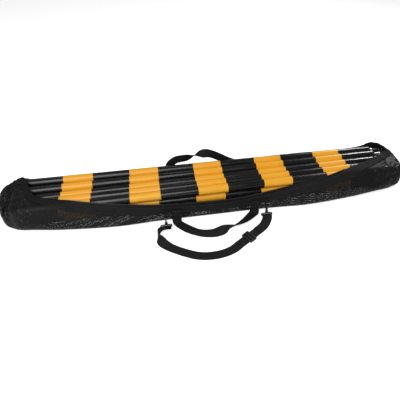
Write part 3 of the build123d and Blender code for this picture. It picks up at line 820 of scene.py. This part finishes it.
# ---- Webbing: legs, handles, shoulder strap ----
# Flat black polypropylene webbing, 25 mm wide. The legs are sewn to the hems, both handles
# hang slack from them, and the strap's ends are doubled round the eyes of the snap hooks.
def smooth_line(points, step=0.003):
    """Evenly spaced points and side directions along a smooth curve through given rows."""
    parts = 24
    dense = []
    for index in range(len(points) - 1):
        rows = [points[max(0, min(i, len(points) - 1))] for i in range(index - 1, index + 3)]
        for part in range(parts):
            t = part / parts
            dense.append([
                0.5 * (2 * b + (c - a) * t + (2 * a - 5 * b + 4 * c - d) * t**2
                       + (3 * b - a - 3 * c + d) * t**3)
                for a, b, c, d in zip(*rows)
            ])
    dense.append(list(points[-1]))
    places = [Vector(row[:3]) for row in dense]
    lengths = [0.0]
    for a, b in zip(places, places[1:]):
        lengths.append(lengths[-1] + (b - a).length)
    count = max(2, round(lengths[-1] / step))
    line, index = [], 0
    for i in range(count + 1):
        target = lengths[-1] * i / count
        while index < len(lengths) - 2 and lengths[index + 1] < target:
            index += 1
        t = (target - lengths[index]) / max(lengths[index + 1] - lengths[index], 1e-9)
        row = [a + (b - a) * t for a, b in zip(dense[index], dense[index + 1])]
        line.append((Vector(row[:3]), Vector(row[3:6])))
    return line, lengths[-1]


strap_width = 0.025


def webbing(name, points, width=strap_width, thickness=0.0018, step=0.003):
    """A flat strap along rows of place and side direction, with rounded edges."""
    line, length = smooth_line(points, step)
    strap = bmesh.new()
    uv_layer = strap.loops.layers.uv.new("weave")
    half, thick, shoulder = width / 2, thickness / 2, thickness / 2 * 0.8
    edge, flat = half - 0.0005, half - 0.0018
    outline = [
        (-half, 0), (-edge, shoulder), (-flat, thick), (0, thick), (flat, thick), (edge, shoulder),
        (half, 0), (edge, -shoulder), (flat, -thick), (0, -thick), (-flat, -thick),
        (-edge, -shoulder),
    ]
    rings = []
    for index, (place, side) in enumerate(line):
        run = line[min(index + 1, len(line) - 1)][0] - line[max(index - 1, 0)][0]
        run.normalize()
        across = (side - run * side.dot(run)).normalized()
        up = run.cross(across)
        rings.append([strap.verts.new(place + across * a + up * b) for a, b in outline])
    count = len(outline)
    for i in range(len(rings) - 1):
        for j in range(count):
            k = (j + 1) % count
            corners = ((i, j), (i, k), (i + 1, k), (i + 1, j))
            face = strap.faces.new([rings[a][b] for a, b in corners])
            face.smooth = True
            for loop, (a, b) in zip(face.loops, corners):
                loop[uv_layer].uv = (length * a / (len(rings) - 1), outline[b][0])
    strap.faces.new(rings[0][::-1])
    strap.faces.new(rings[-1])
    bmesh.ops.recalc_face_normals(strap, faces=strap.faces)
    piece = add_piece(name, strap)
    piece.data.materials.append(webbing_black)
    return piece


webbing_black = woven("webbing_black", (0.007, 0.007, 0.008), 0.0021, 0.0013, 0.0004, 0.66)
front_leg_low, front_leg_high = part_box("front_webbing_legs")
rear_leg_low, rear_leg_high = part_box("rear_webbing_legs")
front_leg_y = (front_leg_low.y + front_leg_high.y) / 2
rear_leg_y = (rear_leg_low.y + rear_leg_high.y) / 2
leg_x = front_leg_high.x - strap_width / 2
# A handle starts just past the end of its leg. The strap lies on the floor at this height.
fold_gap, leg_gap = 0.0012, 0.0002
front_fold_z = front_leg_low.z - fold_gap
rear_fold_z = rear_leg_high.z + fold_gap
floor_z = 0.0014

for side, node_name, leg_y, heights in (
    ("front", "front_webbing_legs", front_leg_y,
     (front_leg_low.z + leg_gap, 0.030, front_leg_high.z)),
    ("rear", "rear_webbing_legs", rear_leg_y,
     (rear_leg_low.z, 0.020, rear_leg_high.z - leg_gap)),
):
    for hand, x in (("left", -leg_x), ("right", leg_x)):
        leg = webbing(f"{side}_leg_{hand}", [(x, leg_y, z, 1, 0, 0) for z in heights])
        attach(leg, "bag")
        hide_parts(node_name)


def lying(rows):
    """Rows of place and roll in degrees, turned into rows of place and side direction.

    At no roll the strap lies flat. A positive roll raises the edge on its left.
    """
    turned_rows = []
    for index, (x, y, z, roll) in enumerate(rows):
        before, after = rows[max(index - 1, 0)], rows[min(index + 1, len(rows) - 1)]
        run = Vector((after[0] - before[0], after[1] - before[1], 0)).normalized()
        angle = math.radians(roll)
        side = Vector((-run.y, run.x, 0)) * math.cos(angle) + Vector((0, 0, math.sin(angle)))
        turned_rows.append((x, y, z, *side))
    return turned_rows


# It hangs from the front hem, lies on the floor and turns over once on its way back.
front_handle = webbing("front_handle_webbing", [
    (-leg_x, front_leg_y, front_fold_z, 1, 0, 0),
    (-leg_x, front_leg_y - 0.001, 0.010, 1, 0, 0),
    (-leg_x + 0.0005, front_leg_y - 0.005, 0.0045, 1, 0.05, 0),
    *lying([
        (-0.1020, -0.1130, 0.0026, 0),
        (-0.0920, -0.1245, 0.0024, 5),
        (-0.0780, -0.1380, 0.0026, 6),
        (-0.0600, -0.1500, 0.0022, 0),
        (-0.0410, -0.1580, 0.0026, 4),
        (-0.0210, -0.1620, 0.0042, 12),
        (-0.0040, -0.1622, 0.0076, 30),
        (0.0100, -0.1608, 0.0120, 60),
        (0.0220, -0.1582, 0.0134, 96),
        (0.0330, -0.1545, 0.0120, 120),
        (0.0450, -0.1492, 0.0100, 136),
        (0.0590, -0.1416, 0.0082, 147),
        (0.0700, -0.1344, 0.0068, 155),
        (0.0800, -0.1268, 0.0058, 162),
        (0.0900, -0.1182, 0.0050, 168),
        (0.0995, -0.1098, 0.0047, 175),
    ]),
    (leg_x - 0.0005, front_leg_y - 0.0035, 0.0075, 1, -0.1, 0),
    (leg_x, front_leg_y, 0.0125, 1, 0, 0),
    (leg_x, front_leg_y, front_fold_z, 1, 0, 0),
])
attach(front_handle, "front_loop")
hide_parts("front_handle")

# It stands up behind the poles in a loose, twisted arch.
rear_handle = webbing("rear_handle_webbing", [
    (-leg_x, rear_leg_y, rear_fold_z, 1, 0, 0),
    (-leg_x, rear_leg_y, 0.045, 1, 0, 0),
    (-0.1035, rear_leg_y + 0.001, 0.0570, 0.95, 0, -0.3),
    (-0.0960, rear_leg_y + 0.001, 0.0670, 0.75, 0, -0.65),
    (-0.0840, rear_leg_y + 0.002, 0.0735, 0.35, 0, -0.93),
    (-0.0690, rear_leg_y + 0.002, 0.0755, 0.05, 0, -1),
    (-0.0550, rear_leg_y + 0.002, 0.0770, 0, 0.1, -1),
    (-0.0430, rear_leg_y + 0.002, 0.0795, 0, 0.45, -0.9),
    (-0.0320, rear_leg_y + 0.002, 0.0825, 0, 0.78, -0.62),
    (-0.0200, rear_leg_y + 0.002, 0.0850, 0, 1, -0.05),
    (-0.0080, rear_leg_y + 0.002, 0.0862, 0, 0.8, 0.6),
    (0.0060, rear_leg_y + 0.002, 0.0858, 0, 0.35, 0.93),
    (0.0220, rear_leg_y + 0.002, 0.0800, 0.35, 0.05, 0.93),
    (0.0400, rear_leg_y + 0.002, 0.0700, 0.5, 0, 0.86),
    (0.0600, rear_leg_y + 0.001, 0.0575, 0.52, 0, 0.85),
    (0.0800, rear_leg_y, 0.0475, 0.45, 0, 0.9),
    (0.0960, rear_leg_y, 0.0415, 0.6, 0, 0.8),
    (leg_x - 0.001, rear_leg_y, 0.0365, 0.9, 0, 0.4),
    (leg_x, rear_leg_y, rear_fold_z, 1, 0, 0),
])
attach(rear_handle, "rear_loop")
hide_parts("rear_handle")

# Its ends are turned round the eyes of the snap hooks. The right one is doubled back.
hook_low, hook_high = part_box("snap_hooks")
eye_inset_x, eye_inset_y = 0.0161, 0.0016
eye_x = (hook_high.x - hook_low.x) / 2 - eye_inset_x
eye_y, eye_z = hook_low.y + eye_inset_y, 0.00375
eye_turn = 0.00265
strap = webbing("shoulder_strap_webbing", [
    (-eye_x, eye_y - 0.0050, 0.0066, 1, 0, 0),
    (-eye_x, eye_y, eye_z + eye_turn, 1, 0, 0),
    (-eye_x, eye_y + eye_turn, eye_z, 1, 0, 0),
    (-eye_x, eye_y, eye_z - eye_turn, 1, 0, 0),
    *lying([
        (-eye_x, eye_y - 0.0050, 0.0024, 0),
        (-eye_x - 0.0020, eye_y - 0.0110, 0.0058, 25),
        (-eye_x - 0.0070, eye_y - 0.0155, 0.0105, 55),
        (-eye_x - 0.0140, eye_y - 0.0180, 0.0133, 80),
        (-eye_x - 0.0205, eye_y - 0.0225, 0.0140, 90),
        (-eye_x - 0.0240, eye_y - 0.0300, 0.0138, 90),
        (-eye_x - 0.0240, eye_y - 0.0400, 0.0128, 78),
        (-0.1565, -0.1680, 0.0106, 48),
        (-0.1490, -0.1775, 0.0062, 20),
        (-0.1360, -0.1885, 0.0027, 4),
        (-0.1180, -0.2010, floor_z, 0),
        (-0.0940, -0.2155, floor_z, 0),
        (-0.0710, -0.2265, floor_z, 0),
        (-0.0450, -0.2320, floor_z, 0),
        (-0.0120, -0.2310, floor_z, 0),
        (0.0180, -0.2220, floor_z, 0),
        (0.0430, -0.2057, floor_z, 0),
        (0.0685, -0.1890, floor_z, 0),
        (0.0940, -0.1723, floor_z, 0),
        (0.1070, -0.1638, floor_z, 0),
        (0.1180, -0.1545, floor_z, 0),
        (0.1270, -0.1430, floor_z, 0),
        (0.1345, -0.1300, floor_z, 0),
        (eye_x, eye_y - 0.0030, floor_z, 0),
    ]),
    (eye_x, eye_y, eye_z - eye_turn, -1, 0, 0),
    (eye_x, eye_y + eye_turn, eye_z, -1, 0, 0),
    (eye_x, eye_y, eye_z + eye_turn, -1, 0, 0),
    *lying([
        (eye_x, eye_y - 0.0050, 0.0056, 180),
        (0.1345, -0.1300, floor_z + 0.0022, 180),
        (0.1270, -0.1430, floor_z + 0.0021, 180),
        (0.1180, -0.1545, floor_z + 0.0021, 180),
        (0.1070, -0.1638, floor_z + 0.0021, 180),
        (0.1000, -0.1684, floor_z + 0.0020, 180),
        (0.0950, -0.1716, floor_z + 0.0018, 180),
    ]),
], step=0.0015)
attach(strap, "carry_strap")
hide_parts("shoulder_strap")

# A narrow tab comes down from each side of the front hem and wraps the bar of its D-ring.
tab_low, tab_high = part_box("ring_tabs")
tab_width, tab_turn, bar_inset = 0.018, 0.00235, 0.00295
bar_y, bar_z = tab_low.y + bar_inset, tab_low.z + bar_inset
ring_x = tab_high.x - tab_width / 2
for hand, x in (("left", -ring_x), ("right", ring_x)):
    tab_points = [
        (x, bar_y + 0.0029, tab_high.z, 1, 0, 0),
        (x, bar_y + 0.0025, bar_z + 0.003, 1, 0, 0),
    ]
    for degrees in range(0, -241, -30):
        angle = math.radians(degrees)
        y, z = bar_y + tab_turn * math.cos(angle), bar_z + tab_turn * math.sin(angle)
        tab_points.append((x, y, z, 1, 0, 0))
    tab = webbing(f"ring_tab_{hand}", tab_points, width=tab_width, thickness=0.0011, step=0.0006)
    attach(tab, "bag")
    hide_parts("ring_tabs")


# ---- Closed zip over the end panels ----
# The zip runs on past the two corners of the mouth, where it is always closed. Its woven nylon
# tape is sewn over the top seam of each end panel, and the right one runs down to the slider.
def over_seam(places):
    """Rows of place and side direction along the seam of an end panel, just outside the net."""
    rows = []
    for x in places:
        seam = net_points(x)[0]
        rows.append((seam.x, seam.y, seam.z + closed_tape_thickness / 2, 0, 1, 0))
    return rows


closed_tape_thickness = 0.0012
zip_end_low, zip_end_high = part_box("zip_closed_end")
end_x, end_y = ((zip_end_low[axis] + zip_end_high[axis]) / 2 for axis in (0, 1))
for side, places, last_rows in (
    ("left", [-0.542, -0.548, -0.554, -0.559, -0.563], []),
    ("right", [0.546, 0.552, 0.558, 0.564, 0.569], [
        (end_x - 0.0008, end_y, zip_end_high[2] + 0.0030, 0, 1, 0),
        (end_x, end_y, zip_end_high[2] - 0.0020, 0, 1, 0),
    ]),
):
    rows = over_seam(places) + last_rows
    closed_tape = webbing(
        f"closed_zip_{side}", rows, width=0.012, thickness=closed_tape_thickness, step=0.0015
    )
    closed_tape.data.materials.clear()
    closed_tape.data.materials.append(zip_tape_black)
    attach(closed_tape, "bag")


# ---- Stitching ----
# Black bonded nylon thread, in two rows along each hem and a crossed box on each webbing leg.
# Each stitch is a short, low arch that dips into the band at both its ends.
thread_black, shader, tree = new_material("thread_black", (0.022, 0.022, 0.023), 0.4)
thread_twist = object_noise(tree, 2500, detail=2)
bumped(tree, shader, thread_twist, 0.0001)


def stitched(name, dashes):
    """Short raised stitches, each from a start, an end and an outward direction."""
    half_width, thread_height, dip, crown = 0.0003, 0.0002, -0.0002, 0.00025
    vertices, faces = [], []
    for start, end, out in dashes:
        run = (end - start).normalized()
        across = run.cross(out).normalized() * half_width
        base = len(vertices)
        for place, lift in ((start, dip), (start.lerp(end, 0.5), crown), (end, dip)):
            for a, b in ((-1, 0), (-0.5, 1), (0.5, 1), (1, 0)):
                vertices.append(place + across * a + out * (lift + b * thread_height))
        for row in (0, 4):
            for column in range(4):
                other = (column + 1) % 4
                faces.append((
                    base + row + column, base + row + other,
                    base + row + 4 + other, base + row + 4 + column,
                ))
        faces += [(base + 3, base + 2, base + 1, base), (base + 8, base + 9, base + 10, base + 11)]
    piece = small_parts(name, vertices, faces)
    piece.data.materials.append(thread_black)
    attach(piece, "bag")
    return piece


stitch_length, stitch_pitch, hem_surface = 0.0028, 0.0042, 0.0018
for side in ("rear", "front"):
    dashes = []
    x = mouth_left + 0.010
    while x < mouth_right - 0.014:
        first, first_outs = along_rim(side, x)
        last, last_outs = along_rim(side, x + stitch_length)
        for depth in (0.003, 0.0205):
            start, out = at_depth(first, first_outs, depth)
            end, end_out = at_depth(last, last_outs, depth)
            dashes.append(
                (start + out * hem_surface, end + end_out * hem_surface, out.normalized())
            )
        x += stitch_pitch
    stitched(f"{side}_hem_stitches", dashes)

box_half_width, box_margin, leg_surface, leg_stitch_pitch = 0.0095, 0.0035, 0.0010, 0.0032
for side, leg_y, low, high in (
    ("front", front_leg_y, front_leg_low.z, front_leg_high.z),
    ("rear", rear_leg_y, rear_leg_low.z, rear_leg_high.z),
):
    outward = Vector((0, -1, 0)) if side == "front" else Vector((0, 1, 0))
    dashes = []
    for x in (-leg_x, leg_x):
        left, right = x - box_half_width, x + box_half_width
        bottom, top = low + box_margin, high - box_margin
        corners = [(left, bottom), (right, bottom), (right, top), (left, top)]
        seams = list(zip(corners, corners[1:] + corners[:1])) + [
            (corners[0], corners[2]), (corners[1], corners[3]),
        ]
        for (x1, z1), (x2, z2) in seams:
            start = Vector((x1, leg_y, z1)) + outward * leg_surface
            end = Vector((x2, leg_y, z2)) + outward * leg_surface
            count = max(3, round((end - start).length / leg_stitch_pitch))
            for step in range(count):
                dashes.append((
                    start.lerp(end, step / count), start.lerp(end, (step + 0.75) / count), outward
                ))
    stitched(f"{side}_leg_stitches", dashes)


# ---- Hardware ----
# D-rings and snap hooks of bent and blackened steel wire, and an adjuster moulded in black
# plastic. The rings hang in the tabs, the hooks clip into the rings, and the strap runs through
# the adjuster.
hardware_black, shader, tree = new_material("hardware_black", (0.014, 0.014, 0.015), 0.28)
rubbed = object_noise(tree, 220, detail=5)
mottled(tree, shader, rubbed, ((0.010, 0.010, 0.011), (0.035, 0.035, 0.037)), (0.2, 0.42))
bumped(tree, shader, rubbed, 0.0001)
for node_name in ("d_rings", "snap_hooks"):
    refinish(node_name, hardware_black)
refinish("strap_slider", moulded_black)
